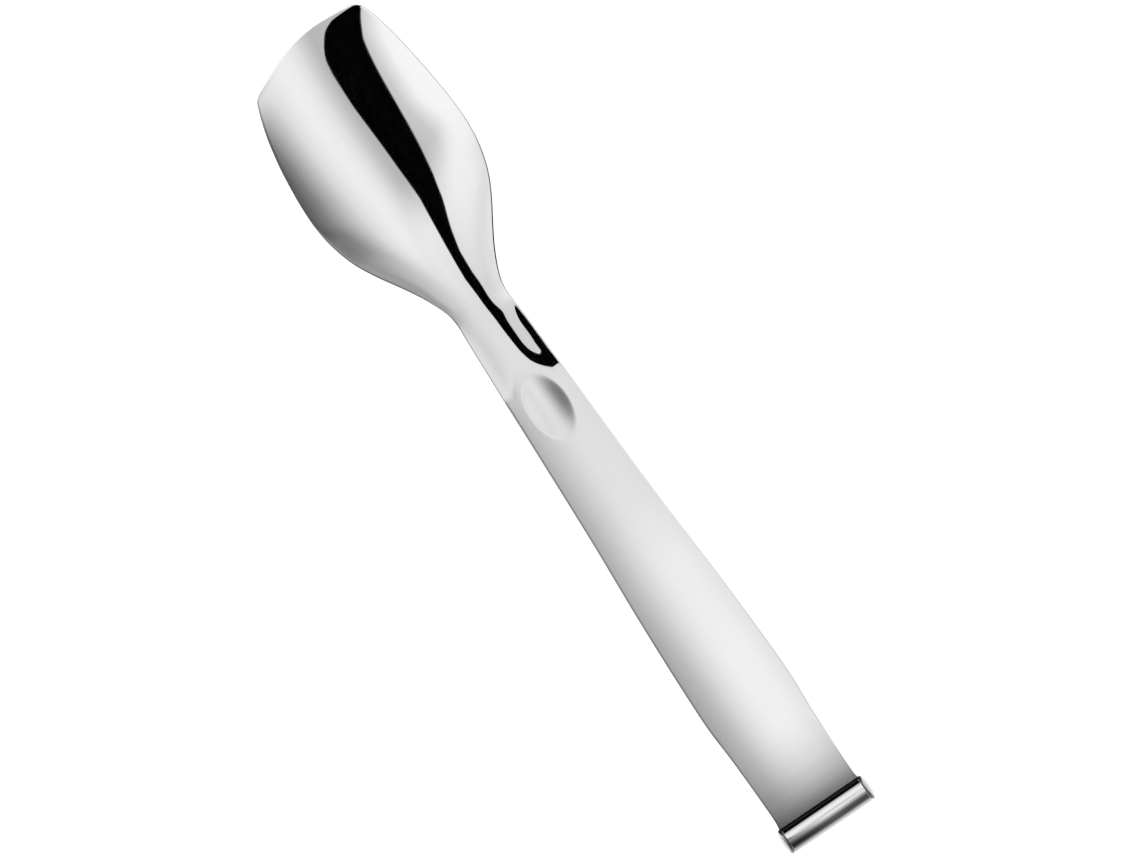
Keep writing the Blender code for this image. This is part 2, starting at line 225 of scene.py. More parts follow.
def arm_tables():
    """Smooth tables along the arm, of its half width, outside, arch, ridge, step and sheet."""
    x = np.arange(ARM_START - TABLE_LEAD, ARM_REACH + TABLE_OVERRUN, TABLE_STEP)
    share = x / ARM_REACH
    back = smooth_through(HANDLE_WIDTH_SHARES, (x - ARM_START) / (NECK_X - ARM_START))
    front = smooth_through(JAW_WIDTH_SHARES, (x - NECK_X) / (last_row() - NECK_X))
    handle_gain = back * (HANDLE_WIDTH - NECK_WIDTH)
    jaw_gain = front * (JAW_WIDTH - NECK_WIDTH)
    width = NECK_WIDTH + np.where(x < NECK_X, handle_gain, jaw_gain)
    corner = np.clip((x - last_row() + EDGE_ROUND + TIP_CORNER) / TIP_CORNER, 0, 1)
    rounded_off = TIP_CORNER * (1 - np.sqrt(1 - corner ** 2))
    return {
        "x": x,
        "half": soften(width / 2, WIDTH_SOFTNESS) - rounded_off,
        "profile": soften(ARM_RISE * smooth_through(PROFILE_SHARES, share), PROFILE_SOFTNESS),
        "arch": soften(smooth_through(ARCH_SHARES, share), ARCH_SOFTNESS),
        "ridge": soften(smooth_through(RIDGE_SHARES, share), RIDGE_SOFTNESS),
        "step": soften(FLANK_STEP * smooth_through(STEP_SHARES, share), STEP_SOFTNESS),
        "inner": soften(smooth_through(STEP_INNER_SHARES, share), STEP_SOFTNESS),
        "outer": soften(smooth_through(STEP_OUTER_SHARES, share), STEP_SOFTNESS),
        "sheet": soften(SHEET * smooth_through(SHEET_SHARES, share), SHEET_SOFTNESS),
    }


TABLES = arm_tables()


def at(name, x):
    """Value at x in the named table of the arm."""
    return np.interp(x, TABLES["x"], TABLES[name])


def outside(x_row, v):
    """Points on the outside of the upper arm, for v from -1 to 1 across each row."""
    half = at("half", x_row)
    blend = smooth_step((x_row / ARM_REACH - TIP_BLEND_SHARE) / (1 - TIP_BLEND_SHARE))
    y = v * half
    bow = TIP_BOW * blend
    height = at("profile", x_row + bow)
    x = x_row - blend * TIP_SLANT * y + bow * (1 - v * v)
    ridge = at("ridge", x_row)
    across = np.abs(v)
    arch = (np.sqrt(1 + (ridge * across) ** 2) - 1) / (np.sqrt(1 + ridge ** 2) - 1)
    fall = (height - RIM_LIFT) * at("arch", x_row) * arch
    inner, outer = at("inner", x_row), at("outer", x_row)
    stepped = np.clip((across - inner) / (outer - inner), 0, 1) ** STEP_SKEW
    fall = fall + at("step", x_row) * smooth_step(stepped)
    along = (x - DIMPLE_X) / (DIMPLE_LENGTH / 2)
    side = y / (DIMPLE_WIDTH / 2)
    inside = np.maximum(0.0, 1 - along ** 2 - side ** 2)
    return np.stack([x, y, height - fall - DIMPLE_DEPTH * inside ** DIMPLE_SOFTNESS], -1)


def unit(vectors):
    return vectors / np.linalg.norm(vectors, axis=-1, keepdims=True)


def outside_normals(x_row, v):
    v_step = NORMAL_STEP / at("half", x_row)
    along = outside(x_row + NORMAL_STEP, v) - outside(x_row - NORMAL_STEP, v)
    across = outside(x_row, v + v_step) - outside(x_row, v - v_step)
    return unit(np.cross(along, across))


def grid_faces(rows, columns, first, flip):
    """Faces of a grid of vertices that starts at the first index."""
    faces = []
    for i in range(rows - 1):
        for j in range(columns - 1):
            a = first + i * columns + j
            face = (a, a + columns, a + columns + 1, a + 1)
            faces.append(face[::-1] if flip else face)
    return faces


def arm_mesh(name, side):
    """The pressed sheet with rounded rims: side is 1 for the upper arm, -1 for its mirror image."""
    end = last_row() - EDGE_ROUND
    straight_rows = int((end - TIP_CORNER - REAR_EDGE) / ROW_STEP) + 1
    straight = np.linspace(REAR_EDGE, end - TIP_CORNER, straight_rows)
    turn = np.linspace(0, CORNER_TURN, CORNER_ROWS + 1)[1:]
    x_row = np.concatenate((straight, end - TIP_CORNER * (1 - np.sin(turn))))[:, None]
    rows = len(x_row)
    growth = smooth_step((x_row - REAR_EDGE) / ROUNDING_REACH)
    rounding = REAR_ROUND + (EDGE_ROUND - REAR_ROUND) * growth
    v = np.linspace(-1, 1, FINE_COLUMNS + 1)[None, :] * (1 - rounding / at("half", x_row))
    rounding = np.broadcast_to(rounding, v.shape)[..., None]
    x_row = np.broadcast_to(x_row, v.shape)
    points = outside(x_row, v)
    normal = outside_normals(x_row, v)
    thick = at("sheet", x_row)[..., None]
    inner = points - normal * thick
    columns = FINE_COLUMNS + 1

    rim = [(0, j) for j in range(columns)]
    rim += [(i, columns - 1) for i in range(1, rows)]
    rim += [(rows - 1, j) for j in range(columns - 2, -1, -1)]
    rim += [(i, 0) for i in range(rows - 2, 0, -1)]
    rim_index = tuple(np.array(rim).T)
    p, n, t, r = points[rim_index], normal[rim_index], thick[rim_index], rounding[rim_index]
    ahead = unit(np.roll(p, -1, axis=0) - np.roll(p, 1, axis=0))
    out = unit(np.cross(n, ahead))
    loops = []
    for step in range(1, RIM_STEPS + 1):
        angle = math.pi / 2 * step / RIM_STEPS
        loops.append(p + r * (out * math.sin(angle) - n * (1 - math.cos(angle))))
    for step in range(RIM_STEPS):
        angle = math.pi / 2 * step / RIM_STEPS
        centre = p - n * (t - r)
        loops.append(centre + r * (out * math.cos(angle) - n * math.sin(angle)))

    count = rows * columns
    vertices = np.concatenate([points.reshape(-1, 3), inner.reshape(-1, 3)] + loops)
    faces = grid_faces(rows, columns, 0, False) + grid_faces(rows, columns, count, True)
    rings = [[i * columns + j for i, j in rim]]
    for k in range(len(loops)):
        start = 2 * count + k * len(rim)
        rings.append(list(range(start, start + len(rim))))
    rings.append([count + i * columns + j for i, j in rim])
    for near, far in zip(rings, rings[1:]):
        for k in range(len(rim)):
            after = (k + 1) % len(rim)
            faces.append((near[k], near[after], far[after], far[k]))
    if side < 0:
        vertices = vertices * np.array([1, 1, -1])
        faces = [face[::-1] for face in faces]
    mesh = bpy.data.meshes.new(name)
    mesh.from_pydata([tuple(vertex) for vertex in vertices], [], faces)
    mesh.validate()
    for polygon in mesh.polygons:
        # Faces short of that end are painted near-black, as the shade in the joint with the barrel
        polygon.material_index = int(polygon.center.x < JOINT_SHADE_END)
    bm = bmesh.new()
    bm.from_mesh(mesh)
    bmesh.ops.recalc_face_normals(bm, faces=bm.faces)
    bm.to_mesh(mesh)
    bm.free()
    mesh.shade_smooth()
    return mesh


def put(mesh, name, place):
    """A new object of the mesh at the place, in the scene."""
    obj = bpy.data.objects.new(name, mesh)
    bpy.context.scene.collection.objects.link(obj)
    obj.matrix_world = place
    bpy.context.view_layer.update()
    return obj


def evaluated_mesh(obj):
    """A new mesh of the object as its modifiers or its wire's thickness make it."""
    bpy.context.view_layer.update()
    depsgraph = bpy.context.evaluated_depsgraph_get()
    return bpy.data.meshes.new_from_object(obj.evaluated_get(depsgraph))


def mesh_from(bm, name):
    mesh = bpy.data.meshes.new(name)
    bm.to_mesh(mesh)
    bm.free()
    return mesh


def cylinder(name, radius, length, place):
    """Cylinder about the Y axis of the place."""
    bm = bmesh.new()
    bmesh.ops.create_cone(
        bm, cap_ends=True, segments=TURN_STEPS, radius1=radius, radius2=radius, depth=length
    )
    bmesh.ops.rotate(bm, verts=bm.verts, matrix=Matrix.Rotation(math.pi / 2, 3, "X"))
    return put(mesh_from(bm, name), name, place)


def block(name, size, place):
    bm = bmesh.new()
    bmesh.ops.create_cube(bm, size=1.0)
    bmesh.ops.scale(bm, vec=size, verts=bm.verts)
    return put(mesh_from(bm, name), name, place)


def finish_solid(obj, steps, rounding):
    """Applies the cuts to the object, with rounded edges, and removes the cutting solids."""
    for other, operation in steps:
        modifier = obj.modifiers.new(other.name, "BOOLEAN")
        modifier.operation = operation
        modifier.object = other
    bevel = obj.modifiers.new("rounding", "BEVEL")
    bevel.width = rounding
    bevel.segments = BEVEL_STEPS
    bevel.limit_method = "ANGLE"
    bevel.angle_limit = BEVEL_ANGLE
    applied = evaluated_mesh(obj)
    obj.modifiers.clear()
    obj.data = applied
    obj.data.name = obj.name
    for other, _operation in steps:
        bpy.data.objects.remove(other, do_unlink=True)
    obj.data.shade_smooth()
    obj.data.set_sharp_from_angle(angle=SHARP_ANGLE)
    return obj


def make_barrel():
    """Tube with the slot in which the lower arm's tabs and the spring's ends swing."""
    barrel = cylinder("barrel_tube", BARREL_RADIUS, BARREL_LENGTH, UPPER)
    cut_length = BARREL_LENGTH + 2 * CUT_OVERRUN
    bore = cylinder("bore", BARREL_BORE, cut_length, UPPER)
    swing = OPEN_ANGLE / 2
    width = 2 * (BARREL_RADIUS * math.sin(swing) + TAB_THICKNESS / 2 + SLOT_SIDE_GAP)
    angle = TAB_ANGLE + swing
    middle = Vector((BARREL_RADIUS * math.cos(angle), 0.0, -BARREL_RADIUS * math.sin(angle)))
    turn = Matrix.Rotation(angle, 4, "Y")
    slot = block("slot", (BARREL_RADIUS, cut_length, width), UPPER @ Matrix.Translation(middle) @ turn)
    return finish_solid(barrel, [(bore, "DIFFERENCE"), (slot, "DIFFERENCE")], EDGE_BREAK)


def make_knuckle(name, side):
    """Bored sleeve with the tab that carries the lower arm: side is 1 on the left, -1 on the right."""
    y = side * (BARREL_LENGTH - KNUCKLE_LENGTH) / 2
    place = LOWER @ Matrix.Translation((0.0, y, 0.0))
    knuckle = cylinder(name, KNUCKLE_RADIUS, KNUCKLE_LENGTH, place)
    inner = (KNUCKLE_BORE + KNUCKLE_RADIUS) / 2
    middle = (TAB_REACH + inner) / 2
    centre = Vector((middle * math.cos(TAB_ANGLE), 0.0, -middle * math.sin(TAB_ANGLE)))
    turn = Matrix.Rotation(TAB_ANGLE, 4, "Y")
    size = (TAB_REACH - inner, KNUCKLE_LENGTH, TAB_THICKNESS)
    tab = block("tab", size, place @ Matrix.Translation(centre) @ turn)
    bore = cylinder("bore", KNUCKLE_BORE, KNUCKLE_LENGTH + 2 * CUT_OVERRUN, place)
    return finish_solid(knuckle, [(tab, "UNION"), (bore, "DIFFERENCE")], EDGE_BREAK)


def make_cap(name, side):
    """Domed disc turned about the hinge axis, with its seat painted near-black as the shade in the
    seam, and the blind bore for the pin.
    """
    bore = PIN_RADIUS + RUNNING_GAP
    profile = []
    for step in range(DOME_STEPS + 1):
        angle = math.pi / 2 * (1 - step / DOME_STEPS)
        profile.append((BARREL_RADIUS * math.cos(angle), CAP_RIM + CAP_DOME * math.sin(angle)))
    profile.append((BARREL_RADIUS, CAP_CHAMFER))
    profile.append((BARREL_RADIUS - CAP_CHAMFER, 0.0))
    profile.append((BARREL_RADIUS - CAP_NECK_INSET, 0.0))
    profile.append((BARREL_RADIUS - CAP_NECK_INSET, -CAP_NECK_LENGTH))
    profile.append((bore, -CAP_NECK_LENGTH))
    profile.append((bore, CAP_BORE_DEPTH))
    profile.append((0.0, CAP_BORE_DEPTH))
    bm = bmesh.new()
    start = BARREL_LENGTH / 2 + SEAT_GAP
    chain = [bm.verts.new((radius, side * (start + height), 0.0)) for radius, height in profile]
    edges = [bm.edges.new(pair) for pair in zip(chain, chain[1:])]
    bmesh.ops.spin(
        bm, geom=chain + edges, cent=(0, 0, 0), axis=(0, 1, 0), angle=2 * math.pi, steps=TURN_STEPS
    )
    bmesh.ops.remove_doubles(bm, verts=bm.verts, dist=MERGE_DISTANCE)
    bmesh.ops.recalc_face_normals(bm, faces=bm.faces)
    shaded_seat_end = start + CAP_CHAMFER / 2
    # Faces of the seat get the second finish: painted shade in the seam between cap and barrel
    for face in bm.faces:
        face.material_index = int(max(side * vert.co.y for vert in face.verts) < shaded_seat_end)
    mesh = mesh_from(bm, name)
    mesh.shade_smooth()
    mesh.set_sharp_from_angle(angle=SHARP_ANGLE)
    return put(mesh, name, UPPER)


def coil_path():
    """Points of the spring: a helix about Y whose ends bend out into the slot."""
    points = []
    lead = SPRING_BEND / COIL_RADIUS
    outer = TAB_REACH - SEAT_GAP - SPRING_WIRE / 2
    count = COIL_TURNS * COIL_POINTS
    first = lead - TAB_ANGLE
    turned_angle = 2 * math.pi * COIL_TURNS - 2 * lead
    half = COIL_LENGTH / 2

    def place(radius, angle, y):
        return Vector((radius * math.cos(angle), y, radius * math.sin(angle)))

    points.append(place(outer, -TAB_ANGLE, -half))
    for step in range(BEND_POINTS):
        turn = math.pi / 2 * (1 - step / BEND_POINTS)
        radius = COIL_RADIUS + SPRING_BEND * (1 - math.cos(turn))
        points.append(place(radius, first - lead * math.sin(turn), -half))
    for step in range(count + 1):
        share = step / count
        points.append(place(COIL_RADIUS, first + turned_angle * share, -half + 2 * half * share))
    for step in range(1, BEND_POINTS + 1):
        turn = math.pi / 2 * step / BEND_POINTS
        radius = COIL_RADIUS + SPRING_BEND * (1 - math.cos(turn))
        points.append(place(radius, first + turned_angle + lead * math.sin(turn), half))
    points.append(place(outer, first + turned_angle + lead, half))
    return points


def make_spring():
    curve = bpy.data.curves.new("spring_wire", "CURVE")
    curve.dimensions = "3D"
    curve.bevel_depth = SPRING_WIRE / 2
    curve.bevel_resolution = WIRE_STEPS
    curve.use_fill_caps = True
    path = coil_path()
    spline = curve.splines.new("POLY")
    spline.points.add(len(path) - 1)
    for point, co in zip(spline.points, path):
        point.co = (*co, 1.0)
    source = bpy.data.objects.new("spring_wire_curve", curve)
    bpy.context.scene.collection.objects.link(source)
    mesh = evaluated_mesh(source)
    bpy.data.objects.remove(source, do_unlink=True)
    mesh.shade_smooth()
    return put(mesh, "spring_coil", LOWER)


# Steel finishes: colour, roughness, its spread, marks to a metre along X, Y and Z, and relief; the last
# two, near-black, are painted shade
FINISHES = {
    "polished_steel": ((0.93, 0.93, 0.93), 0.05, 0.01, (90.0, 400.0, 400.0), 0.02),
    "turned_steel": ((0.75, 0.75, 0.76), 0.22, 0.05, (3000.0, 200.0, 3000.0), 0.2),
    "drawn_wire": ((0.55, 0.55, 0.56), 0.3, 0.06, (900.0, 900.0, 900.0), 0.2),
    "satin_steel": ((0.58, 0.58, 0.59), 0.3, 0.04, (700.0, 2500.0, 700.0), 0.1),
    # Near-black painted shade for the joint of each arm and the barrel
    "painted_joint_shade": ((0.03, 0.03, 0.03), 0.35, 0.1, (900.0, 900.0, 900.0), 0.3),
    # Near-black painted shade for the seats of the end caps
    "painted_seat_shade": ((0.05, 0.05, 0.05), 0.5, 0.1, (900.0, 900.0, 900.0), 0.2),
}
MARK_DETAIL = 6.0
MARK_RANGE = (0.3, 0.7)
RELIEF_DEPTH = 0.01 * MM


def material(name):
    made = bpy.data.materials.new(name)
    made.use_nodes = True
    tree = made.node_tree
    return made, tree.nodes, tree.links, tree.nodes["Principled BSDF"]


def steel(name, colour, roughness, spread, grain, bump):
    """Steel whose roughness and fine grain vary over the surface, at the scale of real marks."""
    made, nodes, links, shader = material(name)
    shader.inputs["Base Color"].default_value = (*colour, 1.0)
    shader.inputs["Metallic"].default_value = 1.0
    where = nodes.new("ShaderNodeTexCoord")
    stretch = nodes.new("ShaderNodeMapping")
    stretch.inputs["Scale"].default_value = grain
    links.new(where.outputs["Object"], stretch.inputs["Vector"])
    marks = nodes.new("ShaderNodeTexNoise")
    marks.inputs["Scale"].default_value = 1.0
    marks.inputs["Detail"].default_value = MARK_DETAIL
    links.new(stretch.outputs["Vector"], marks.inputs["Vector"])
    ramp = nodes.new("ShaderNodeMapRange")
    ramp.inputs["From Min"].default_value = MARK_RANGE[0]
    ramp.inputs["From Max"].default_value = MARK_RANGE[1]
    ramp.inputs["To Min"].default_value = roughness - spread
    ramp.inputs["To Max"].default_value = roughness + spread
    links.new(marks.outputs["Fac"], ramp.inputs["Value"])
    links.new(ramp.outputs["Result"], shader.inputs["Roughness"])
    relief = nodes.new("ShaderNodeBump")
    relief.inputs["Strength"].default_value = bump
    relief.inputs["Distance"].default_value = RELIEF_DEPTH
    links.new(marks.outputs["Fac"], relief.inputs["Height"])
    links.new(relief.outputs["Normal"], shader.inputs["Normal"])
    return made


# Floor, with the glow that the camera and reflections see, so that it is as white as the background
FLOOR_RADIUS = 4.0
FLOOR_SIDES = 64
FLOOR_COLOUR = (0.9, 0.9, 0.9, 1.0)
FLOOR_LIFT = 0.35
WHITE = (1.0, 1.0, 1.0, 1.0)


def make_floor():
    """Matt white floor, with the added glow where the camera or a reflection sees it."""
    bm = bmesh.new()
    bmesh.ops.create_circle(bm, cap_ends=True, segments=FLOOR_SIDES, radius=FLOOR_RADIUS)
    mesh = mesh_from(bm, "floor")
    floor = put(mesh, "floor", Matrix.Identity(4))
    made, nodes, links, shader = material("floor_white")
    shader.inputs["Base Color"].default_value = FLOOR_COLOUR
    shader.inputs["Roughness"].default_value = 1.0
    shader.inputs["Specular IOR Level"].default_value = 0.0
    shader.inputs["Emission Color"].default_value = WHITE
    path = nodes.new("ShaderNodeLightPath")
    seen = nodes.new("ShaderNodeMath")
    seen.operation = "MAXIMUM"
    links.new(path.outputs["Is Camera Ray"], seen.inputs[0])
    links.new(path.outputs["Is Glossy Ray"], seen.inputs[1])
    lift = nodes.new("ShaderNodeMath")
    lift.operation = "MULTIPLY"
    lift.inputs[1].default_value = FLOOR_LIFT
    links.new(seen.outputs[0], lift.inputs[0])
    links.new(lift.outputs[0], shader.inputs["Emission Strength"])
    mesh.materials.append(made)


# Light: a bright studio sky, with cloths and cards near the tongs that only reflections see
VIEW_TILT = OPEN_ANGLE / 2
AHEAD = Vector((math.cos(VIEW_TILT), 0.0, math.sin(VIEW_TILT)))
OVER = Vector((-math.sin(VIEW_TILT), 0.0, math.cos(VIEW_TILT)))
ASIDE = Vector((0.0, -1.0, 0.0))

# Brightness of the sky by degrees to the right
SKY_BY_SIDE = ((-90, 0.55), (-84, 0.55), (-78, 1.0), (90, 1.0))

# Scrim over the upper arm, in mm from the hinge, along the tongs and to their right
SCRIM_HEIGHT = 60.0 * MM
SCRIM_LOW = (-200.0, -600.0)
SCRIM_HIGH = (260.0, 600.0)
# Light let through by mm to the right, over the handle, the hollow, the neck, the shoulder and the jaw
HANDLE_LIGHT = (
    (-60, 0.15), (-26, 0.25), (-17, 0.42), (-12, 0.54), (-7, 0.72), (-2, 0.86), (2, 0.92),
    (7, 0.945), (12, 0.92), (18, 0.83), (30, 0.72), (60, 0.7),
)
HOLLOW_LIGHT = (
    (-200, 0.42), (-110, 0.45), (-75, 0.3), (-50, 0.2), (-31, 0.2), (-24, 0.29), (-18, 0.44),
    (-12, 0.62), (-7, 0.76), (-2, 0.87), (2, 0.92), (9, 0.93), (17, 0.88), (24, 0.92), (34, 0.97),
    (60, 0.97),
)
NECK_LIGHT = (
    (-200, 0.35), (-144, 0.4), (-112, 0.56), (-90, 0.69), (-60, 0.8), (-45, 0.85), (-30, 0.88),
    (-15, 0.92), (0, 0.95), (20, 0.78), (40, 0.78), (60, 0.82), (100, 0.93), (150, 0.93),
)
SHOULDER_LIGHT = (
    (-200, 0.14), (-150, 0.18), (-130, 0.25), (-106, 0.41), (-88, 0.55), (-60, 0.69), (-43, 0.79),
    (-31, 0.87), (-15, 0.92), (0, 0.88), (15, 0.86), (25, 0.84), (35, 0.88), (52, 0.92), (75, 0.95),
    (105, 0.97), (150, 0.96),
)
JAW_LIGHT = (
    (-150, 0.11), (-113, 0.13), (-92, 0.24), (-75, 0.42), (-62, 0.59), (-50, 0.77), (-38, 0.88),
    (-28, 0.93), (-19, 0.9), (-11, 0.8), (-4, 0.64), (3, 0.51), (30, 0.55), (38, 0.6), (46, 0.64),
    (56, 0.8), (68, 0.97), (80, 1.0), (150, 1.0),
)
# Scale of the distance to the left and to the right over the jaw, by mm along the tongs
JAW_REACH_LEFT = ((150, 0.9), (168, 0.9), (182, 1.0), (200, 1.03), (260, 1.05))
JAW_REACH_RIGHT = ((150, 0.68), (165, 0.68), (182, 0.76), (196, 1.0), (225, 1.1), (260, 1.1))
# Light let through by mm along the tongs, for all of them
LIGHT_ALONG = (
    (-200, 1.0), (30, 1.0), (62, 0.965), (81, 0.88), (122, 0.84), (143, 0.84), (153, 0.92),
    (165, 0.98), (260, 1.0),
)
# Where each gives way to the next, in mm along the tongs
HANDLE_TO_HOLLOW = (20.0, 98.0)
HOLLOW_TO_NECK = (118.0, 128.0)
NECK_TO_SHOULDER = (130.0, 156.0)
SHOULDER_TO_JAW = (165.0, 182.0)
# How much sooner the jaw's light begins on the left, and over which mm to the right that grows
JAW_LEAD = 20.0
JAW_LEAD_SIDE = (-40.0, 0.0)
# Black flag in the scrim: where it fades in and out along the tongs, how softly its left and right
# edges fade, in mm, and these edges: (mm along the tongs, mm to the right)
FLAG_FADE_IN = (124.5, 126.0)
FLAG_FADE_OUT = (251.0, 249.0)
FLAG_LEFT_FADE = (-0.4, 0.8)
FLAG_RIGHT_FADE = (-1.0, 1.0)
FLAG_LEFT = (
    (100, 20), (124.5, 20), (126, 6.3), (132, 6.6), (146, 6.8), (151, 3.8), (160, 6.2),
    (174, 10.3), (184, 8), (206, 4.6), (222, 4), (229, 4.6), (232, 5.8), (235, 8), (238, 11),
    (241, 15), (245, 21), (250, 40),
)
FLAG_RIGHT = (
    (100, 26), (126, 28), (133, 35), (138, 38), (142, 35), (145, 29), (150, 23), (156, 20.5),
    (162, 25), (169, 34.5), (174, 37.5), (185, 38.3), (205, 39), (224, 40), (232, 45), (237, 58),
    (241, 72), (250, 90),
)

# Upright cards just in front of and behind the barrel: their X and how far they reach to each side, in
# mm from the hinge, the front one's brightness and the light that the rear one lets through, by mm over
# the hinge
FRONT_CARD_X = 3.4
FRONT_CARD_REACH = 12.8
FRONT_CARD_GLOW = (
    (-3, 0.02), (1.7, 0.03), (2.0, 0.08), (2.4, 0.165), (2.85, 0.3), (3.4, 0.5), (4.0, 0.71),
    (4.7, 0.86), (5.7, 0.92), (7.0, 0.93), (9.3, 0.84), (13.5, 0.71), (26, 0.6), (57, 0.52),
)
REAR_CARD_X = -3.6
REAR_CARD_REACH = 14.0
REAR_CARD_LIGHT = (
    (-8, 0.65), (0.9, 0.56), (1.4, 0.5), (1.9, 0.3), (2.4, 0.12), (2.8, 0.08), (4.8, 0.1),
    (6, 0.15), (7, 0.24), (8.7, 0.42), (11.4, 0.57), (19, 0.77), (31, 0.9), (46, 0.98), (57, 1.0),
)
# Black strip beside the neck and the shoulder: mm to the right, its corners as mm along the tongs and
# over the hinge, its top by mm along the tongs, and how softly that fades
STRIP_SIDE = 44.0
STRIP_LOW = (136.0, 4.0)
STRIP_HIGH = (184.0, 33.0)
STRIP_TOP = ((136, 31), (146, 31), (156, 21), (170, 15), (184, 8))
STRIP_FADE = (-2.0, 0.0)
# Dim skirts on both sides of the neck and the jaw, which draw the thin dark line of their rims: mm to
# the side, where they start and reach their full tone along the tongs, and the light let through
SKIRT_SIDE = 80.0
SKIRT_RISE = (75.0, 125.0)
SKIRT_END = 262.0
SKIRT_BOTTOM = -42.0
SKIRT_TOP = 28.0
SKIRT_LIGHT = 0.15


class Graph:
    """Short calls that add math nodes to a node tree."""

    def __init__(self, tree):
        self.tree = tree

    def add(self, kind, values, **settings):
        node = self.tree.nodes.new(kind)
        for name, setting in settings.items():
            setattr(node, name, setting)
        for socket, value in zip(node.inputs, values):
            if isinstance(value, bpy.types.NodeSocket):
                self.tree.links.new(value, socket)
            elif value is not None:
                socket.default_value = value
        return node

    def math(self, operation, *values):
        return self.add("ShaderNodeMath", values, operation=operation).outputs[0]

    def dot(self, vector, direction):
        """Share of the direction in the vector."""
        node = self.add("ShaderNodeVectorMath", (vector, direction), operation="DOT_PRODUCT")
        return node.outputs["Value"]

    def between(self, value, low, high):
        """Smooth rise from 0 to 1 while the value goes from low to high."""
        values = (value, low, high, 0.0, 1.0)
        return self.add("ShaderNodeMapRange", values, interpolation_type="SMOOTHSTEP").outputs[0]

    def times(self, *values):
        return self.math("MULTIPLY", *values)

    def minus(self, *values):
        return self.math("SUBTRACT", *values)

    def blend(self, share, start, end):
        return self.math("ADD", start, self.times(share, self.minus(end, start)))

    def through(self, stops, value):
        """Value of a curve through the stops."""
        low, high = stops[0][0], stops[-1][0]
        top = max(level for _place, level in stops)
        place = self.add("ShaderNodeMapRange", (value, low, high, 0.0, 1.0)).outputs[0]
        node = self.add("ShaderNodeValToRGB", (place,))
        elements = node.color_ramp.elements
        while len(elements) < len(stops):
            elements.new(0.5)
        for element, (spot, level) in zip(elements, stops):
            element.position = (spot - low) / (high - low)
            element.color = (level / top, level / top, level / top, 1.0)
        return self.times(node.outputs["Color"], float(top))


def make_world():
    """White studio for the camera; for reflections its brightness depends on the side."""
    world = bpy.data.worlds.new("studio")
    bpy.context.scene.world = world
    world.use_nodes = True
    tree = world.node_tree
    graph = Graph(tree)
    direction = tree.nodes.new("ShaderNodeTexCoord").outputs["Generated"]
    side = graph.times(graph.math("ARCSINE", graph.dot(direction, ASIDE)), 180 / math.pi)
    sky = graph.through(SKY_BY_SIDE, side)
    seen = tree.nodes.new("ShaderNodeLightPath").outputs["Is Camera Ray"]
    background = tree.nodes["Background"]
    background.inputs["Color"].default_value = WHITE
    tree.links.new(graph.blend(seen, sky, 1.0), background.inputs["Strength"])


def card(name, low, high, place, light, glowing=False):
    """Flat cloth from low to high, in mm, that only reflections see.

    Light gives what it lets through or, if it glows, the brightness of its front; a glowing one
    isn't seen from behind.
    """
    mesh = bpy.data.meshes.new(name)
    (left, bottom), (right, top) = low, high
    corners = [(left, bottom, 0), (right, bottom, 0), (right, top, 0), (left, top, 0)]
    mesh.from_pydata(corners, [], [(0, 1, 2, 3)])
    cloth = put(mesh, name, place @ Matrix.Scale(MM, 4))
    cloth.visible_camera = False
    cloth.visible_diffuse = False
    cloth.visible_shadow = False
    cloth.visible_transmission = False
    cloth.visible_volume_scatter = False
    made = bpy.data.materials.new(name)
    made.use_nodes = True
    tree = made.node_tree
    tree.nodes.remove(tree.nodes["Principled BSDF"])
    graph = Graph(tree)
    where = tree.nodes.new("ShaderNodeTexCoord").outputs["Object"]
    spot = graph.add("ShaderNodeSeparateXYZ", (where,))
    amount = light(graph, spot.outputs["X"], spot.outputs["Y"])
    if glowing:
        behind = tree.nodes.new("ShaderNodeNewGeometry").outputs["Backfacing"]
        glow = graph.add("ShaderNodeEmission", (WHITE, amount)).outputs[0]
        clear = graph.add("ShaderNodeBsdfTransparent", ()).outputs[0]
        surface = graph.add("ShaderNodeMixShader", (behind, glow, clear)).outputs[0]
    else:
        colour = graph.add("ShaderNodeCombineColor", (amount, amount, amount)).outputs[0]
        surface = graph.add("ShaderNodeBsdfTransparent", (colour,)).outputs[0]
    tree.links.new(surface, tree.nodes["Material Output"].inputs["Surface"])
    mesh.materials.append(made)


